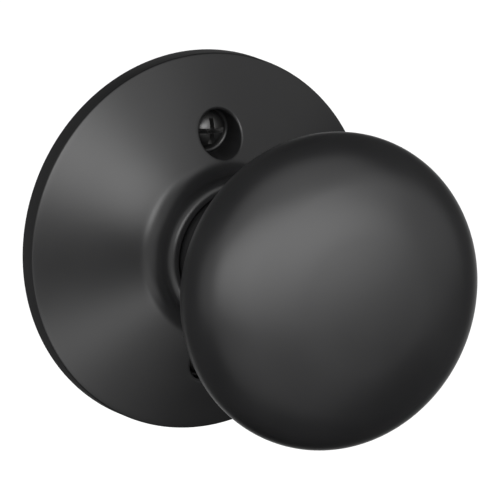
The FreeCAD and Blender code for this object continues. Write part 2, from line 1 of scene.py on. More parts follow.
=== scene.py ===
"""Looks of a satin black door knob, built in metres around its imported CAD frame.

The knob stands out along -Y, the bolts and the spindle run into the door along +Y, and +Z is up.
Profiles are (radius from the axis, distance out from the door face), in millimetres.
"""

import math

import bmesh
import bpy
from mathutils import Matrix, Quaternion, Vector


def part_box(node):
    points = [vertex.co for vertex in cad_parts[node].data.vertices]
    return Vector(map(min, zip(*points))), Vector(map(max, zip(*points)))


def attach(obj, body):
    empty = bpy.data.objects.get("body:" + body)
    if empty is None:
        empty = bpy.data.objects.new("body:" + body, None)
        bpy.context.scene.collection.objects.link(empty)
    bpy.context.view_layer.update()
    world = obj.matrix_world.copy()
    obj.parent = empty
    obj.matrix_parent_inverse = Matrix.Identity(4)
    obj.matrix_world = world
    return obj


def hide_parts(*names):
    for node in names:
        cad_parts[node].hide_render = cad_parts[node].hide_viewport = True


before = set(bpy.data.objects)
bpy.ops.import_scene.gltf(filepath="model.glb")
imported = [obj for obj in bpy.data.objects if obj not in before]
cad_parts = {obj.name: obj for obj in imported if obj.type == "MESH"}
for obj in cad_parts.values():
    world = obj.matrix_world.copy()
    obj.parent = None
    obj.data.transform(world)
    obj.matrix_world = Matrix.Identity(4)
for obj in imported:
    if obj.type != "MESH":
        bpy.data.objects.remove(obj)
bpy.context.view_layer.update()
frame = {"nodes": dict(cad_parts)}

MM = 0.001
MERGE_DISTANCE = MM / 1000
SHARP_DEG = 32
SEGMENTS = 256
TOP_DEG = 90
BOTTOM_DEG = 270


def node_size(node):
    """A CAD node's lowest and highest corners, in millimetres."""
    low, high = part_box(node)
    return low / MM, high / MM


rose_low, rose_high = node_size("rose")
knob_high = node_size("knob_front_shell")[1]
sleeve_low, sleeve_high = node_size("shank_sleeve")
bolts_low, bolts_high = node_size("through_bolts")

# Rose
ROSE_R = rose_high.z
ROSE_WALL = 1.2
RIM_HEIGHT = 3.5
RIM_ROUND = 0.4
CONE_DEG = 23.6
NECK_R = 13.3
NECK_FILLET_R = 4.0
NECK_TOP = -rose_low.y
LIP_ROUND = 1.6
LIP_INNER_ROUND = 0.2
NECK_BORE_R = 11.45
CRIMP_DEPTH = 0.3
CRIMP_REACH = 0.9
CRIMP_HALF_DEG = 4
CRIMP_RAMP_DEG = 1.5
CRIMPS_DEG = (45, 135, 225, 315)
EDGE_ROUND = 0.15

# Screw wells and the bolts in them
BOLT_HEAD_R = bolts_high.x
BOLT_OFFSET = bolts_high.z - BOLT_HEAD_R
BOLT_HEAD_TOP = -bolts_low.y
BOLT_TIP = -bolts_high.y
WELL_R = 3.98
WELL_LIP_ROUND = 0.4
WELL_FLOOR = 4.1
WELL_BACK = WELL_FLOOR - ROSE_WALL
WELL_BOTTOM_ROUND = 0.6
BOLT_HOLE_R = 2.25
HOLE_EDGE = 0.1
BOLT_R = 2.08
BOLT_NECK_R = 1.85
BOLT_NECK_LENGTH = 3.5
BOLT_HEAD_ROUND = 0.25
BOLT_UNDER_ROUND = 0.15
BOLT_DOME_R = 3.73
BOLT_POINT = 0.8
CROSS_SPAN = 4.4
CROSS_WIDTH = 0.8
CROSS_DEPTH = 1.8
CROSS_TAPER = 0.45
CROSS_EDGE = 0.06
SLOT_DEPTH = 1.2
DOME_RINGS = 8
RECESS_STEPS = 5
THREAD_PITCH = 25.4 / 32
THREAD_DEPTH = 0.45

# Knob
KNOB_R = knob_high.z
KNOB_WIDEST = 48.5
KNOB_WALL = 1.0
SHOULDER_R = 10.2
BACK_R = 22.4
BROW_R = 14.0
CHEEK_R = 32.0
FACE_R = 80.0
BACK_FROM_DEG = -25.0
BROW_FROM_DEG = 45.0
CHEEK_FROM_DEG = 66.0
SEAM_DEG = -50.0
SEAM_GAP_DEG = 0.4
SEAM_ROUND = 0.12
FLANGE_END_DEG = -40.0
JOGGLE_DEG = 3.0
SHANK_R = sleeve_high.z
SLEEVE_FRONT = -sleeve_low.y


# Profiles and meshes


def arc(centre, radius, start_deg, end_deg, steps):
    """Points of a profile arc, with angles from radially outward to the front."""
    points = []
    for step in range(steps + 1):
        turn = math.radians(start_deg + (end_deg - start_deg) * step / steps)
        points.append((centre[0] + radius * math.cos(turn), centre[1] + radius * math.sin(turn)))
    return points


def line(start, end, steps):
    """Points between two profile points, without the two ends."""
    parts = [step / steps for step in range(1, steps)]
    return [(start[0] + (end[0] - start[0]) * t, start[1] + (end[1] - start[1]) * t) for t in parts]


def shifted(centre, distance, degrees):
    """A profile point at a distance from a centre, at a profile angle."""
    return arc(centre, distance, degrees, degrees, 1)[0]


def place(x, z, out):
    """A point in the row frame, in metres."""
    return Vector((x * MM, -out * MM, z * MM))


def around(radius, turn, out):
    return place(radius * math.cos(turn), radius * math.sin(turn), out)


class Skin:
    """Points and faces of one closed surface, made ring by ring."""

    def __init__(self):
        self.points = []
        self.faces = []

    def ring(self, points):
        first = len(self.points)
        self.points.extend(points)
        return list(range(first, len(self.points)))

    def join(self, ring, following, skip=()):
        """Quads between two rings, or triangles where a ring is a single point."""
        count = max(len(ring), len(following))
        wide = [list(r) * count if len(r) == 1 else r for r in (ring, following)]
        for i in range(count):
            j = (i + 1) % count
            if i in skip:
                continue
            corners = dict.fromkeys((wide[0][i], wide[0][j], wide[1][j], wide[1][i]))
            if len(corners) > 2:
                self.faces.append(list(corners))

    def turn(self, profile, segments=SEGMENTS):
        """Rings of a profile turned about the axis; a point on the axis is one vertex."""
        rings = []
        for radius, out in profile:
            turns = [2 * math.pi * i / segments for i in range(segments)] if radius > 0 else [0]
            rings.append(self.ring([around(radius, turn, out) for turn in turns]))
        return rings

    def piece(self, name, body, slot, stands_for):
        """The surface as an object on a body, with merged points and outward faces."""
        mesh = bpy.data.meshes.new(name)
        mesh.from_pydata(self.points, [], self.faces)
        work = bmesh.new()
        work.from_mesh(mesh)
        bmesh.ops.remove_doubles(work, verts=work.verts, dist=MERGE_DISTANCE)
        bmesh.ops.dissolve_degenerate(work, edges=work.edges, dist=MERGE_DISTANCE)
        loose = [v for v in work.verts if not v.link_faces]
        bmesh.ops.delete(work, geom=loose, context="VERTS")
        bmesh.ops.recalc_face_normals(work, faces=work.faces)
        for face in work.faces:
            face.smooth = True
        work.to_mesh(mesh)
        work.free()
        mesh.set_sharp_from_angle(angle=math.radians(SHARP_DEG))
        mesh.materials.append(MATERIALS[slot])
        made = bpy.data.objects.new(name, mesh)
        bpy.context.scene.collection.objects.link(made)
        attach(made, body)
        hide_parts(stands_for)
        return made


def lathe(name, body, slot, profile, stands_for):
    """A piece turned from a profile, which is closed unless it starts and ends on the axis."""
    skin = Skin()
    rings = skin.turn(profile)
    for ring, following in zip(rings, rings[1:]):
        skin.join(ring, following)
    if profile[0][0] > 0:
        skin.join(rings[-1], rings[0])
    return skin.piece(name, body, slot, stands_for)


# Materials


def new_material(name, colour, metallic, roughness):
    """A material with its node tree and its shader. Patterns then vary the colour and roughness."""
    material = bpy.data.materials.new(name)
    material.use_nodes = True
    tree = material.node_tree
    shader = tree.nodes["Principled BSDF"]
    shader.inputs["Base Color"].default_value = (*colour, 1)
    shader.inputs["Metallic"].default_value = metallic
    shader.inputs["Roughness"].default_value = roughness
    return material, tree, shader


def noise(tree, size_mm, detail=2.0, stretch=(1, 1, 1)):
    """Noise with features of a real size, in the piece's own coordinates."""
    where = tree.nodes.new("ShaderNodeTexCoord")
    scaled = tree.nodes.new("ShaderNodeMapping")
    scaled.inputs["Scale"].default_value = [1 / (size_mm * MM * s) for s in stretch]
    tree.links.new(where.outputs["Object"], scaled.inputs["Vector"])
    pattern = tree.nodes.new("ShaderNodeTexNoise")
    pattern.inputs["Scale"].default_value = 1.0
    pattern.inputs["Detail"].default_value = detail
    tree.links.new(scaled.outputs["Vector"], pattern.inputs["Vector"])
    return pattern.outputs["Fac"]


def spread(tree, value, low, high):
    """The middle of a noise stretched over a range."""
    ranged = tree.nodes.new("ShaderNodeMapRange")
    ranged.inputs["From Min"].default_value = 0.3
    ranged.inputs["From Max"].default_value = 0.7
    ranged.inputs["To Min"].default_value = low
    ranged.inputs["To Max"].default_value = high
    tree.links.new(value, ranged.inputs["Value"])
    return ranged.outputs["Result"]


def mottle(tree, shader, value, dark, light):
    """Base colour that wanders between two shades."""
    ramp = tree.nodes.new("ShaderNodeValToRGB")
    ramp.color_ramp.elements[0].position = 0.3
    ramp.color_ramp.elements[0].color = (*dark, 1)
    ramp.color_ramp.elements[1].position = 0.7
    ramp.color_ramp.elements[1].color = (*light, 1)
    tree.links.new(value, ramp.inputs["Fac"])
    tree.links.new(ramp.outputs["Color"], shader.inputs["Base Color"])


def relief(tree, shader, layers):
    """Bump from layers of (height pattern, depth in millimetres)."""
    normal = None
    for height, depth_mm in layers:
        bump = tree.nodes.new("ShaderNodeBump")
        bump.inputs["Strength"].default_value = 1.0
        bump.inputs["Distance"].default_value = depth_mm * MM
        tree.links.new(height, bump.inputs["Height"])
        if normal:
            tree.links.new(normal, bump.inputs["Normal"])
        normal = bump.outputs["Normal"]
    tree.links.new(normal, shader.inputs["Normal"])


def satin_black():
    """Sprayed and baked black finish: a faint orange peel and a fine matting grain."""
    material, tree, shader = new_material("satin_black", (0.007, 0.007, 0.0073), 0.0, 0.3)
    peel = noise(tree, 1.6, 1.0)
    grain = noise(tree, 0.12, 2.0)
    drift = noise(tree, 14.0, 2.0)
    mottle(tree, shader, drift, (0.0062, 0.0062, 0.0065), (0.0078, 0.0078, 0.0081))
    tree.links.new(spread(tree, drift, 0.29, 0.315), shader.inputs["Roughness"])
    relief(tree, shader, [(peel, 0.0035), (grain, 0.0006)])
    return material


def black_steel():
    """Black oxide on a formed screw: thin, glossy and a little uneven."""
    material, tree, shader = new_material("black_steel", (0.085, 0.085, 0.087), 0.9, 0.37)
    drift = noise(tree, 1.5, 3.0)
    grain = noise(tree, 0.08, 2.0)
    mottle(tree, shader, drift, (0.07, 0.07, 0.072), (0.105, 0.104, 0.102))
    tree.links.new(spread(tree, drift, 0.33, 0.43), shader.inputs["Roughness"])
    relief(tree, shader, [(grain, 0.0008)])
    return material


def zinc_plated_steel():
    """Bright zinc on rolled sheet and bar: long rolling lines under a clear passivate."""
    material, tree, shader = new_material("zinc_plated_steel", (0.6, 0.61, 0.63), 1.0, 0.34)
    lines = noise(tree, 0.25, 3.0, (1, 1, 18))
    cloud = noise(tree, 6.0, 3.0)
    mottle(tree, shader, cloud, (0.57, 0.58, 0.6), (0.63, 0.635, 0.64))
    tree.links.new(spread(tree, cloud, 0.32, 0.37), shader.inputs["Roughness"])
    relief(tree, shader, [(lines, 0.0012)])
    return material


def spring_steel():
    """Oiled spring steel with fine drawing lines."""
    material, tree, shader = new_material("spring_steel", (0.2, 0.2, 0.21), 1.0, 0.3)
    drift = noise(tree, 2.0, 3.0)
    grain = noise(tree, 0.1, 2.0)
    mottle(tree, shader, drift, (0.16, 0.16, 0.17), (0.25, 0.245, 0.24))
    tree.links.new(spread(tree, drift, 0.25, 0.38), shader.inputs["Roughness"])
    relief(tree, shader, [(grain, 0.0008)])
    return material


def cast_zinc():
    """Die-cast zinc, left as cast: a soft grey skin with flow marks and small pits."""
    material, tree, shader = new_material("cast_zinc", (0.42, 0.43, 0.44), 1.0, 0.46)
    flow = noise(tree, 5.0, 4.0)
    pits = noise(tree, 0.35, 3.0)
    mottle(tree, shader, flow, (0.34, 0.35, 0.365), (0.48, 0.485, 0.49))
    tree.links.new(spread(tree, flow, 0.4, 0.55), shader.inputs["Roughness"])
    relief(tree, shader, [(flow, 0.02), (pits, 0.008)])
    return material


def sintered_bronze():
    """Oil-filled sintered bronze: warm, matt and full of pores."""
    material, tree, shader = new_material("sintered_bronze", (0.48, 0.31, 0.16), 1.0, 0.5)
    pores = noise(tree, 0.22, 3.0)
    stain = noise(tree, 3.0, 3.0)
    mottle(tree, shader, stain, (0.38, 0.24, 0.12), (0.55, 0.37, 0.2))
    tree.links.new(spread(tree, pores, 0.42, 0.65), shader.inputs["Roughness"])
    relief(tree, shader, [(pores, 0.012)])
    return material


def black_acetal():
    """Moulded acetal: a fine spark-eroded texture."""
    material, tree, shader = new_material("black_acetal", (0.014, 0.014, 0.015), 0.0, 0.42)
    texture = noise(tree, 0.3, 3.0)
    drift = noise(tree, 8.0, 2.0)
    mottle(tree, shader, drift, (0.012, 0.012, 0.013), (0.018, 0.018, 0.019))
    tree.links.new(spread(tree, texture, 0.38, 0.5), shader.inputs["Roughness"])
    relief(tree, shader, [(texture, 0.005)])
    return material


MATERIALS = {
    make.__name__: make()
    for make in (
        satin_black,
        black_steel,
        zinc_plated_steel,
        spring_steel,
        cast_zinc,
        sintered_bronze,
        black_acetal,
    )
}


def dress_cad_nodes():
    """Every CAD node takes the procedural material of the slot that it was packed with."""
    for node in frame["nodes"].values():
        for held in node.material_slots:
            held.material = MATERIALS[held.material.name.split(".")[0]]


# Rose


def on_cone(radius, inset=0.0):
    """Where the cone, moved inwards by inset, is at a radius."""
    slope = math.radians(CONE_DEG)
    return RIM_HEIGHT + ((ROSE_R - radius) * math.sin(slope) - inset) / math.cos(slope)


CONE_OUTWARD_DEG = 90 - CONE_DEG
FILLET_FROM_DEG = CONE_OUTWARD_DEG - 180
RIM_CENTRE = (ROSE_R - RIM_ROUND, on_cone(ROSE_R - RIM_ROUND, RIM_ROUND))
FILLET_CENTRE = (NECK_R + NECK_FILLET_R, on_cone(NECK_R + NECK_FILLET_R, -NECK_FILLET_R))

# The window in the turned grid around each well, which a patch with the well in it fills. On the
# inside of the wall the window is a little larger.
WINDOW_HALF_COLUMNS = 13
WINDOW_CONE_ROWS = 16
WINDOW_FILLET_ROWS = 8
WINDOW_ROWS = WINDOW_CONE_ROWS + WINDOW_FILLET_ROWS
WINDOW_OUTER_R = BOLT_OFFSET + WELL_R + 1.6
WINDOW_INNER_R = NECK_R + 0.7
WINDOW_GROWTH = 0.3
PATCH_ROWS = 9


def skin_height(radius, inset):
    """Distance out of the cone and the neck's fillet, moved inwards by inset, at a radius."""
    bend_r = NECK_FILLET_R + inset
    tangent_r = shifted(FILLET_CENTRE, bend_r, FILLET_FROM_DEG)[0]
    if radius >= tangent_r:
        return on_cone(radius, inset)
    across = min(FILLET_CENTRE[0] - radius, bend_r)
    return FILLET_CENTRE[1] - math.sqrt(bend_r**2 - across**2)


def fillet_angle_at(radius, bend_r):
    """Where a fillet of radius bend_r about the neck's fillet centre reaches a radius."""
    return -math.degrees(math.acos((radius - FILLET_CENTRE[0]) / bend_r))


def window_rows(outer_r, inner_r, inset):
    """The cone and fillet points of a window, from its outer to its inner radius."""
    bend_r = NECK_FILLET_R + inset
    tangent = shifted(FILLET_CENTRE, bend_r, FILLET_FROM_DEG)
    inner_deg = fillet_angle_at(inner_r, bend_r)
    cone = [(outer_r, on_cone(outer_r, inset))]
    cone += line(cone[0], tangent, WINDOW_CONE_ROWS)
    return cone + arc(FILLET_CENTRE, bend_r, FILLET_FROM_DEG, inner_deg, WINDOW_FILLET_ROWS)


def rose_profile():
    """The closed profile, with the first rows of the outer and the inner window."""
    inner_rim_r = ROSE_R - ROSE_WALL
    inner_neck_r = NECK_R - ROSE_WALL
    inner_bend_r = NECK_FILLET_R + ROSE_WALL
    outer_window = window_rows(WINDOW_OUTER_R, WINDOW_INNER_R, 0)
    grown_r = WINDOW_INNER_R - WINDOW_GROWTH
    inner_window = window_rows(WINDOW_OUTER_R + WINDOW_GROWTH, grown_r, ROSE_WALL)
    outer_deg = fillet_angle_at(WINDOW_INNER_R, NECK_FILLET_R)
    inner_deg = fillet_angle_at(grown_r, inner_bend_r)
    rim = arc(RIM_CENTRE, RIM_ROUND, 0, CONE_OUTWARD_DEG, 8)
    lip_centre = (NECK_R - LIP_ROUND, NECK_TOP - LIP_ROUND)
    mouth_centre = (NECK_BORE_R + LIP_INNER_ROUND, NECK_TOP - LIP_INNER_ROUND)
    profile = [(inner_rim_r, 0)]
    profile += arc((ROSE_R - EDGE_ROUND, EDGE_ROUND), EDGE_ROUND, -90, 0, 4)
    profile += rim
    profile += line(rim[-1], outer_window[0], 12)
    outer_first = len(profile)
    profile += outer_window
    profile += arc(FILLET_CENTRE, NECK_FILLET_R, outer_deg, -180, 10)[1:]
    profile += arc(lip_centre, LIP_ROUND, 0, 90, 12)
    profile += arc(mouth_centre, LIP_INNER_ROUND, 90, 180, 6)
    profile += [(NECK_BORE_R, NECK_TOP - ROSE_WALL), (inner_neck_r, NECK_TOP - ROSE_WALL)]
    profile += arc(FILLET_CENTRE, inner_bend_r, -180, inner_deg, 6)[:-1]
    inner_first = len(profile)
    profile += inner_window[::-1]
    profile += [(inner_rim_r, on_cone(inner_rim_r, ROSE_WALL)), (inner_rim_r, CRIMP_DEPTH)]
    return profile, outer_first, inner_first


def crimp_share(turn):
    """1 where the rim is staked over the plate, 0 elsewhere."""
    degrees = math.degrees(turn) % 360
    nearest = min(abs(degrees - middle) for middle in CRIMPS_DEG)
    return min(1.0, max(0.0, (CRIMP_HALF_DEG - nearest) / CRIMP_RAMP_DEG))


def window_loop(rings, first, middle):
    """The grid points around a window, in order."""
    left, right = middle - WINDOW_HALF_COLUMNS, middle + WINDOW_HALF_COLUMNS
    last = first + WINDOW_ROWS
    loop = [rings[first][j] for j in range(left, right)]
    loop += [rings[k][right] for k in range(first, last)]
    loop += [rings[last][j] for j in range(right, left, -1)]
    loop += [rings[k][left] for k in range(last, first, -1)]
    return loop


def well_lip(turn, centre_z):
    """Points of the lip's round at one angle about the well, from the cone to the wall."""

    def height(reach):
        x, z = reach * math.cos(turn), centre_z + reach * math.sin(turn)
        return skin_height(math.hypot(x, z), 0)

    middle = WELL_R + WELL_LIP_ROUND
    step = WELL_LIP_ROUND / 4
    slope = (height(middle + step) - height(middle - step)) / (2 * step)
    out = height(middle) - WELL_LIP_ROUND * math.hypot(1, slope)
    start_deg = 90 + math.degrees(math.atan(slope))
    return arc((middle, out), WELL_LIP_ROUND, start_deg, 180, 6)


def add_well(skin, outer_loop, inner_loop, centre_z):
    """A patch of the cone with the well pressed into it, down to the bolt hole and back inside."""
    edge = [skin.points[i] / MM for i in outer_loop]
    turns = [math.atan2(p.z - centre_z, p.x) for p in edge]
    lips = [well_lip(turn, centre_z) for turn in turns]

    def about_well(turn, reach, out):
        return place(reach * math.cos(turn), centre_z + reach * math.sin(turn), out)

    def patch(loop, rim_reach, inset):
        """Rings from the window's edge to a ring about the well, lifted onto the skin."""
        rings = [loop]
        for row in range(1, PATCH_ROWS):
            share = row / PATCH_ROWS
            points = []
            for i, turn in zip(loop, turns):
                start = skin.points[i] / MM
                reach = rim_reach(turn)
                x = start.x + (reach * math.cos(turn) - start.x) * share
                z = start.z + (centre_z + reach * math.sin(turn) - start.z) * share
                points.append(place(x, z, skin_height(math.hypot(x, z), inset)))
            rings.append(skin.ring(points))
        return rings

    lip_reach = {turn: lip[0][0] for turn, lip in zip(turns, lips)}
    rings = patch(outer_loop, lambda turn: lip_reach[turn], 0)
    for step in range(len(lips[0])):
        rings.append(skin.ring([about_well(t, *lip[step]) for t, lip in zip(turns, lips)]))
    bottom_centre = (WELL_R - WELL_BOTTOM_ROUND, WELL_FLOOR + WELL_BOTTOM_ROUND)
    well = arc(bottom_centre, WELL_BOTTOM_ROUND, 0, -90, 10)
    well += [(BOLT_HOLE_R + HOLE_EDGE, WELL_FLOOR), (BOLT_HOLE_R, WELL_FLOOR - HOLE_EDGE)]
    well += [(BOLT_HOLE_R, WELL_BACK)]
    tube_r = WELL_R + ROSE_WALL
    well += arc(bottom_centre, WELL_BOTTOM_ROUND + ROSE_WALL, -90, 0, 8)
    for reach, out in well:
        rings.append(skin.ring([about_well(turn, reach, out) for turn in turns]))
    inside = patch(inner_loop, lambda turn: tube_r, ROSE_WALL)
    tube_top = []
    for turn in turns:
        top = about_well(turn, tube_r, 0) / MM
        tube_top.append(place(top.x, top.z, skin_height(math.hypot(top.x, top.z), ROSE_WALL)))
    rings.append(skin.ring(tube_top))
    rings += inside[::-1]
    for ring, following in zip(rings, rings[1:]):
        skin.join(ring, following)


def rose():
    skin = Skin()
    profile, outer_first, inner_first = rose_profile()
    rings = skin.turn(profile)
    columns = [SEGMENTS * degrees // 360 for degrees in (TOP_DEG, BOTTOM_DEG)]
    holes = []
    for middle in columns:
        holes += range(middle - WINDOW_HALF_COLUMNS, middle + WINDOW_HALF_COLUMNS)
    windows = {first + row for first in (outer_first, inner_first) for row in range(WINDOW_ROWS)}
    for k, (ring, following) in enumerate(zip(rings, rings[1:])):
        skin.join(ring, following, holes if k in windows else ())
    # The staked tabs are the last rows of the rim's inner wall, drawn in over the plate.
    inner_rim_r = ROSE_R - ROSE_WALL
    turns = [2 * math.pi * i / SEGMENTS for i in range(SEGMENTS)]
    staked = [inner_rim_r - CRIMP_REACH * crimp_share(turn) for turn in turns]
    ledge = skin.ring([around(r, turn, CRIMP_DEPTH) for r, turn in zip(staked, turns)])
    skin.join(rings[-1], ledge)
    for i, r in zip(rings[0], staked):
        skin.points[i] = around(r, 2 * math.pi * (i - rings[0][0]) / SEGMENTS, 0)
    skin.join(ledge, rings[0])
    for middle, side in zip(columns, (1, -1)):
        outer_loop = window_loop(rings, outer_first, middle)
        inner_loop = window_loop(rings, inner_first, middle)
        # The inner window's rows run outwards, so its loop is turned to match the outer one.
        inner_loop = matched(skin, outer_loop, inner_loop)
        add_well(skin, outer_loop, inner_loop, side * BOLT_OFFSET)
    return skin.piece("rose_cover", "trim", "satin_black", "rose")


def matched(skin, loop, other):
    """The other loop, turned and reversed so that its points lie by the first one's."""
    count = len(loop)
    target = [skin.points[i] for i in loop]
    best = None
    for order in (other, other[::-1]):
        for start in range(count):
            first = skin.points[order[start]]
            quarter = skin.points[order[(start + count // 4) % count]]
            gap = (first - target[0]).length + (quarter - target[count // 4]).length
            if best is None or gap < best[0]:
                best = (gap, order[start:] + order[:start])
    return best[1]


# Knob

SHOULDER_CENTRE = (KNOB_R - SHOULDER_R, KNOB_WIDEST)
BACK_CENTRE = shifted(SHOULDER_CENTRE, SHOULDER_R - BACK_R, BACK_FROM_DEG)
BROW_CENTRE = shifted(SHOULDER_CENTRE, SHOULDER_R - BROW_R, BROW_FROM_DEG)
CHEEK_CENTRE = shifted(BROW_CENTRE, BROW_R - CHEEK_R, CHEEK_FROM_DEG)
FACE_FROM_DEG = math.degrees(math.acos(CHEEK_CENTRE[0] / (FACE_R - CHEEK_R)))
FACE_CENTRE = shifted(CHEEK_CENTRE, CHEEK_R - FACE_R, FACE_FROM_DEG)


def back_angle_at(radius, inset):
    """Where the back arc, moved inwards by inset, comes down to a radius."""
    return -math.degrees(math.acos((radius - BACK_CENTRE[0]) / (BACK_R - inset)))


def knob_front_shell():
    """Face, cheek, brow, shoulder and the front of the back, with a softened edge at the seam."""

    def surface(inset, end_deg):
        face = arc(FACE_CENTRE, FACE_R - inset, 90, FACE_FROM_DEG, 20)
        face[0] = (0, face[0][1])
        cheek = arc(CHEEK_CENTRE, CHEEK_R - inset, FACE_FROM_DEG, CHEEK_FROM_DEG, 16)
        brow = arc(BROW_CENTRE, BROW_R - inset, CHEEK_FROM_DEG, BROW_FROM_DEG, 16)
        shoulder = arc(SHOULDER_CENTRE, SHOULDER_R - inset, BROW_FROM_DEG, BACK_FROM_DEG, 32)
        back = arc(BACK_CENTRE, BACK_R - inset, BACK_FROM_DEG, end_deg, 20)
        return face + cheek[1:] + brow[1:] + shoulder[1:] + back[1:]

    softened_deg = SEAM_DEG + math.degrees(SEAM_ROUND / BACK_R)
    outside = surface(0, softened_deg)
    edge = [shifted(BACK_CENTRE, BACK_R - SEAM_ROUND / 3, SEAM_DEG + (softened_deg - SEAM_DEG) / 3)]
    edge += [shifted(BACK_CENTRE, BACK_R - SEAM_ROUND, SEAM_DEG)]
    inside = surface(KNOB_WALL, SEAM_DEG)[::-1]
    return lathe("front_shell", "knob", "satin_black", outside + edge + inside, "knob_front_shell")


def knob_back_shell():
    """The rest of the back, with a flange inside the front shell and a collar on the shank."""
    cap_edge = SEAM_DEG - SEAM_GAP_DEG
    collar_r = SHANK_R + KNOB_WALL
    softened_deg = cap_edge - math.degrees(SEAM_ROUND / BACK_R)
    profile = [shifted(BACK_CENTRE, BACK_R - SEAM_ROUND, cap_edge)]
    profile += [shifted(BACK_CENTRE, BACK_R - SEAM_ROUND / 3, cap_edge + (softened_deg - cap_edge) / 3)]
    profile += arc(BACK_CENTRE, BACK_R, softened_deg, back_angle_at(SHANK_R, 0), 20)
    profile += [(SHANK_R, SLEEVE_FRONT), (collar_r, SLEEVE_FRONT)]
    inner_from = back_angle_at(collar_r, KNOB_WALL)
    profile += arc(BACK_CENTRE, BACK_R - KNOB_WALL, inner_from, cap_edge - JOGGLE_DEG, 12)
    flange_r = BACK_R - 2 * KNOB_WALL
    profile += arc(BACK_CENTRE, flange_r, cap_edge + JOGGLE_DEG / 3, FLANGE_END_DEG, 6)
    profile += arc(BACK_CENTRE, BACK_R - KNOB_WALL, FLANGE_END_DEG, cap_edge, 6)
    return lathe("back_shell", "knob", "satin_black", profile, "knob_back_shell")


# Bolts


def recess_bars():
    """Half sizes of the slot right across the head, as wide as the cross, and of the upright bar."""
    slot_reach = math.sqrt(BOLT_DOME_R**2 - (BOLT_DOME_R - SLOT_DEPTH) ** 2)
    return (slot_reach, CROSS_WIDTH / 2), (CROSS_WIDTH / 2, CROSS_SPAN / 2)


def recess_turns():
    """Angles that trace the recess's outline exactly, for all rings of a bolt."""
    quarter = []
    for along, width in ((recess_bars()[0][0], CROSS_WIDTH / 2), (CROSS_SPAN / 2, CROSS_WIDTH / 2)):
        corner = math.atan2(width, along)
        bar = [0, corner / 2, corner]
        for step in range(1, RECESS_STEPS):
            bar.append(math.atan2(width, along + (width - along) * step / RECESS_STEPS))
        quarter.append(bar)
    flat, upright = quarter
    rising = flat + [math.pi / 4] + [math.pi / 2 - turn for turn in upright[:0:-1]]
    falling = [math.pi - turn for turn in rising[:0:-1]]
    half = rising + [math.pi / 2] + falling
    return half + [turn + math.pi for turn in half]


def recess_reach(turn, bars, margin=0.0):
    """How far an outline of two crossed bars reaches from its middle in a direction."""
    across, up = abs(math.cos(turn)), abs(math.sin(turn))
    return max(
        min((x + margin) / max(across, 1e-9), (z + margin) / max(up, 1e-9)) for x, z in bars
    )


def bolt_skin(centre_z):
    """A round-headed machine screw: cross and slot, domed head, plain neck, thread and point."""
    skin = Skin()
    turns = recess_turns()

    def ring(reaches, outs):
        points = []
        for turn, reach, out in zip(turns, reaches, outs):
            points.append(place(reach * math.cos(turn), centre_z + reach * math.sin(turn), out))
        return skin.ring(points)

    def level(reach, out):
        return ring([reach] * len(turns), [out] * len(turns))

    def dome(reach):
        return BOLT_HEAD_TOP - BOLT_DOME_R + math.sqrt(BOLT_DOME_R**2 - reach**2)

    bars = recess_bars()
    cross = [(CROSS_SPAN / 2, CROSS_WIDTH / 2), bars[1]]
    pit = [CROSS_TAPER * recess_reach(turn, cross) for turn in turns]
    mouth = [recess_reach(turn, bars) for turn in turns]
    wide = [recess_reach(turn, bars, CROSS_EDGE) for turn in turns]
    slot_out = BOLT_HEAD_TOP - SLOT_DEPTH
    floor_out = BOLT_HEAD_TOP - CROSS_DEPTH
    in_slot = [abs(r * math.sin(turn)) <= bars[0][1] + 1e-6 for r, turn in zip(mouth, turns)]
    foot = []
    for r, low in zip(mouth, in_slot):
        foot.append(min(dome(r) - 2 * CROSS_EDGE, slot_out if low else math.inf))
    rings = [skin.ring([place(0, centre_z, floor_out)])]
    rings.append(ring(pit, [floor_out] * len(turns)))
    rings.append(ring(mouth, foot))
    rings.append(ring(mouth, [dome(r) - CROSS_EDGE for r in mouth]))
    rings.append(ring(wide, [dome(r) for r in wide]))
    dome_centre = (0, BOLT_HEAD_TOP - BOLT_DOME_R)
    edge_reach = BOLT_DOME_R - BOLT_HEAD_ROUND
    tilt_deg = math.degrees(math.acos((BOLT_HEAD_R - BOLT_HEAD_ROUND) / edge_reach))
    dome_end_r = shifted(dome_centre, BOLT_DOME_R, tilt_deg)[0]
    for step in range(1, DOME_RINGS):
        reaches = [r + (dome_end_r - r) * step / DOME_RINGS for r in wide]
        rings.append(ring(reaches, [dome(r) for r in reaches]))
    for reach, out in arc(shifted(dome_centre, edge_reach, tilt_deg), BOLT_HEAD_ROUND, tilt_deg, 0, 6):
        rings.append(level(reach, out))
    under = (BOLT_HEAD_R - BOLT_UNDER_ROUND, WELL_FLOOR + BOLT_UNDER_ROUND)
    for reach, out in arc(under, BOLT_UNDER_ROUND, 0, -90, 3):
        rings.append(level(reach, out))
    thread_start = WELL_FLOOR - BOLT_NECK_LENGTH
    root_r = BOLT_R - THREAD_DEPTH
    rings.append(level(BOLT_NECK_R, WELL_FLOOR))
    rings.append(level(BOLT_NECK_R, thread_start + BOLT_NECK_R - root_r))
    rings.append(level(root_r, thread_start))
    for ring_a, ring_b in zip(rings, rings[1:]):
        skin.join(ring_a, ring_b)
    add_thread(skin, turns, ring, rings[-1], thread_start, BOLT_TIP)
    return skin


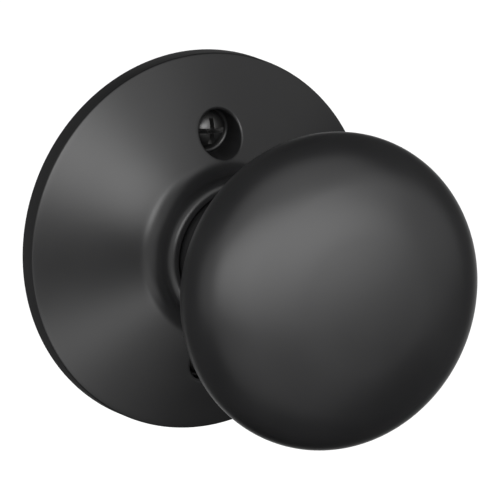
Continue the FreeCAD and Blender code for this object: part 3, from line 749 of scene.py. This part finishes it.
def add_thread(skin, turns, ring, start_ring, start, tip):
    """A helical thread from a start ring to a closed, chamfered tip. Rows that would lie past
    either end are held at it, and their points merge there."""
    # Crest and root of a 60 degree thread, as (share of the pitch, height)
    turn_rows = [(0.0, 1.0), (0.125, 1.0), (0.4375, 0.0), (0.6875, 0.0)]
    end = tip + BOLT_POINT / 4
    length = start - end
    whole_turns = math.ceil(length / THREAD_PITCH) + 1
    rows = [(lap + share, height) for lap in range(whole_turns) for share, height in turn_rows]
    root_r = BOLT_R - THREAD_DEPTH
    columns = []
    for turn in turns:
        column = []
        for lap, height in rows:
            down = THREAD_PITCH * (lap + turn / (2 * math.pi) - 1)
            down = min(max(down, 0), length)
            run_in = min(1.0, down / THREAD_PITCH, (length - down) / (BOLT_POINT + THREAD_PITCH / 2))
            column.append((root_r + THREAD_DEPTH * height * run_in, start - down))
        columns.append(column)
    made = []
    for row in range(len(rows)):
        made.append(ring([column[row][0] for column in columns], [column[row][1] for column in columns]))
    count, per_turn = len(turns), len(turn_rows)
    for row in range(len(rows) - 1):
        for i in range(count - 1):
            skin.faces.append([made[row][i], made[row][i + 1], made[row + 1][i + 1], made[row + 1][i]])
    for row in range(len(rows) - 1):
        near, far = min(row + per_turn, len(rows) - 1), min(row + 1 + per_turn, len(rows) - 1)
        corners = dict.fromkeys((made[row][-1], made[near][0], made[far][0], made[row + 1][-1]))
        if len(corners) > 2:
            skin.faces.append(list(corners))
    end_ring = ring([root_r] * count, [end] * count)
    cap_ring = ring([root_r - BOLT_POINT / 2] * count, [tip] * count)
    centre = skin.ring([sum((skin.points[i] for i in cap_ring), Vector()) / count])
    skin.join(end_ring, cap_ring)
    skin.join(cap_ring, centre)


def through_bolts():
    pieces = []
    for name, side in (("upper_bolt", 1), ("lower_bolt", -1)):
        skin = bolt_skin(side * BOLT_OFFSET)
        pieces.append(skin.piece(name, "trim", "black_steel", "through_bolts"))
    return pieces


# Stage, lights and camera

CAMERA_AZIMUTH = -29.194
CAMERA_ELEVATION = 11.225
CAMERA_ROLL = 2.194
CAMERA_DISTANCE = 2.3
CAMERA_TARGET = place(-5.16, 3.81, 30.0)
CAMERA_LENS = 984.6
CAMERA_SENSOR = 36.0
FLOOR_DROP = 4.0
FLOOR_REACH = 60.0
WORLD_STRENGTH = 1.35
LIGHT_DISTANCE = 1.6

# Softboxes for the knob, for the rose with its bolts and sleeve, and for the bare metal behind them:
# azimuth, elevation, half width and half height in degrees, and radiance
GRIP_LIGHTS = (
    (-23, 13, 66, 34, 2.54),
    (-23, 48, 66, 50, 1.14),
    (41, 13, 45, 34, 0.76),
    (151, -13, 41, 26, 0.55),
    (-90, 6, 34, 32, 0.81),
    (-22, -17, 63, 52, 0.61),
    (-150, 0, 60, 55, 0.07),
    (115, 0, 60, 55, 0.07),
)
COVER_LIGHTS = (
    (-20, 17, 23, 18, 5.05),
    (-38, 14, 14, 14, 1.9),
    (-39, 36, 63, 36, 0.87),
    (23, 27, 66, 25, 0.65),
    (0, 52, 25, 16, 0.85),
    (-17, -38, 14, 10, 2.85),
    (-7, -40, 54, 21, 1.0),
    (-65, -48, 20, 14, 0.94),
    (-63, -10, 45, 40, 0.8),
    (-150, 0, 60, 55, 0.11),
    (115, 0, 60, 55, 0.15),
)
WORKS_LIGHTS = (
    (-60, 25, 45, 30, 1.6),
    (70, 30, 40, 30, 1.2),
    (165, 35, 50, 30, 2.0),
    (-140, 0, 35, 30, 1.2),
)


def direction(azimuth, elevation):
    """A unit vector; azimuth 0 is in front of the knob, 90 on its right, and elevation is upwards."""
    a, e = math.radians(azimuth), math.radians(elevation)
    return Vector((math.sin(a) * math.cos(e), -math.cos(a) * math.cos(e), math.sin(e)))


def camera():
    data = bpy.data.cameras.new("camera")
    data.sensor_width = CAMERA_SENSOR
    data.lens = CAMERA_LENS
    data.clip_end = 100
    made = bpy.data.objects.new("camera", data)
    bpy.context.scene.collection.objects.link(made)
    back = direction(CAMERA_AZIMUTH, CAMERA_ELEVATION)
    made.location = CAMERA_TARGET + back * CAMERA_DISTANCE
    made.rotation_mode = "QUATERNION"
    roll = Quaternion((0, 0, 1), math.radians(CAMERA_ROLL))
    made.rotation_quaternion = back.to_track_quat("Z", "Y") @ roll
    bpy.context.scene.camera = made


def softbox(name, receivers, azimuth, elevation, half_width_deg, half_height_deg, radiance):
    """A light that faces the object and fades from its middle, for one group of pieces."""
    width = 2 * LIGHT_DISTANCE * math.tan(math.radians(half_width_deg))
    height = 2 * LIGHT_DISTANCE * math.tan(math.radians(half_height_deg))
    data = bpy.data.lights.new(name, "AREA")
    data.shape = "RECTANGLE"
    data.size = width
    data.size_y = height
    data.energy = radiance * math.pi * width * height
    data.use_nodes = True
    nodes, links = data.node_tree.nodes, data.node_tree.links
    across = nodes.new("ShaderNodeNewGeometry").outputs["Parametric"]
    for operation, other in (("SUBTRACT", (0.5, 0.5, 0)), ("MULTIPLY", (2, 2, 0))):
        step = nodes.new("ShaderNodeVectorMath")
        step.operation = operation
        step.inputs[1].default_value = other
        links.new(across, step.inputs[0])
        across = step.outputs["Vector"]
    square = nodes.new("ShaderNodeVectorMath")
    square.operation = "DOT_PRODUCT"
    links.new(across, square.inputs[0])
    links.new(across, square.inputs[1])
    fade = nodes.new("ShaderNodeMath")
    fade.operation = "SUBTRACT"
    fade.use_clamp = True
    fade.inputs[0].default_value = 1
    links.new(square.outputs["Value"], fade.inputs[1])
    links.new(fade.outputs["Value"], nodes["Emission"].inputs["Strength"])
    made = bpy.data.objects.new(name, data)
    bpy.context.scene.collection.objects.link(made)
    towards = direction(azimuth, elevation)
    made.location = CAMERA_TARGET + towards * LIGHT_DISTANCE
    made.rotation_mode = "QUATERNION"
    made.rotation_quaternion = towards.to_track_quat("Z", "Y")
    made.visible_camera = False
    made.light_linking.receiver_collection = receivers


def light_group(name, pieces, lights):
    """Softboxes for one group of pieces."""
    receivers = bpy.data.collections.new(name)
    for piece in pieces:
        receivers.objects.link(piece)
    for number, light in enumerate(lights, 1):
        softbox(f"{name}_softbox_{number}", receivers, *light)


def floor():
    material, tree, shader = new_material("pale_floor", (0.9, 0.9, 0.9), 0.0, 0.7)
    cloud = noise(tree, 400.0, 2.0)
    mottle(tree, shader, cloud, (0.89, 0.89, 0.89), (0.91, 0.91, 0.91))
    bpy.ops.mesh.primitive_plane_add(size=2 * FLOOR_REACH, location=(0, 0, -FLOOR_DROP))
    made = bpy.context.object
    made.name = "floor"
    made.data.materials.append(material)
    made.visible_glossy = False
    made.visible_diffuse = False


def surroundings():
    """A white room that the black finish doesn't mirror, so its tones come from the softboxes."""
    world = bpy.data.worlds.new("studio")
    bpy.context.scene.world = world
    world.use_nodes = True
    world.node_tree.nodes["Background"].inputs["Color"].default_value = (1, 1, 1, 1)
    world.node_tree.nodes["Background"].inputs["Strength"].default_value = WORLD_STRENGTH
    world.cycles_visibility.glossy = False
    bpy.context.scene.view_settings.view_transform = "Standard"


dress_cad_nodes()
nodes = frame["nodes"]
grip = [knob_front_shell(), knob_back_shell()]
cover = [rose(), *through_bolts(), nodes["shank_sleeve"]]
works = [node for name, node in nodes.items() if name != "shank_sleeve"]
floor()
surroundings()
camera()
light_group("grip", grip, GRIP_LIGHTS)
light_group("cover", cover, COVER_LIGHTS)
light_group("works", works, WORKS_LIGHTS)
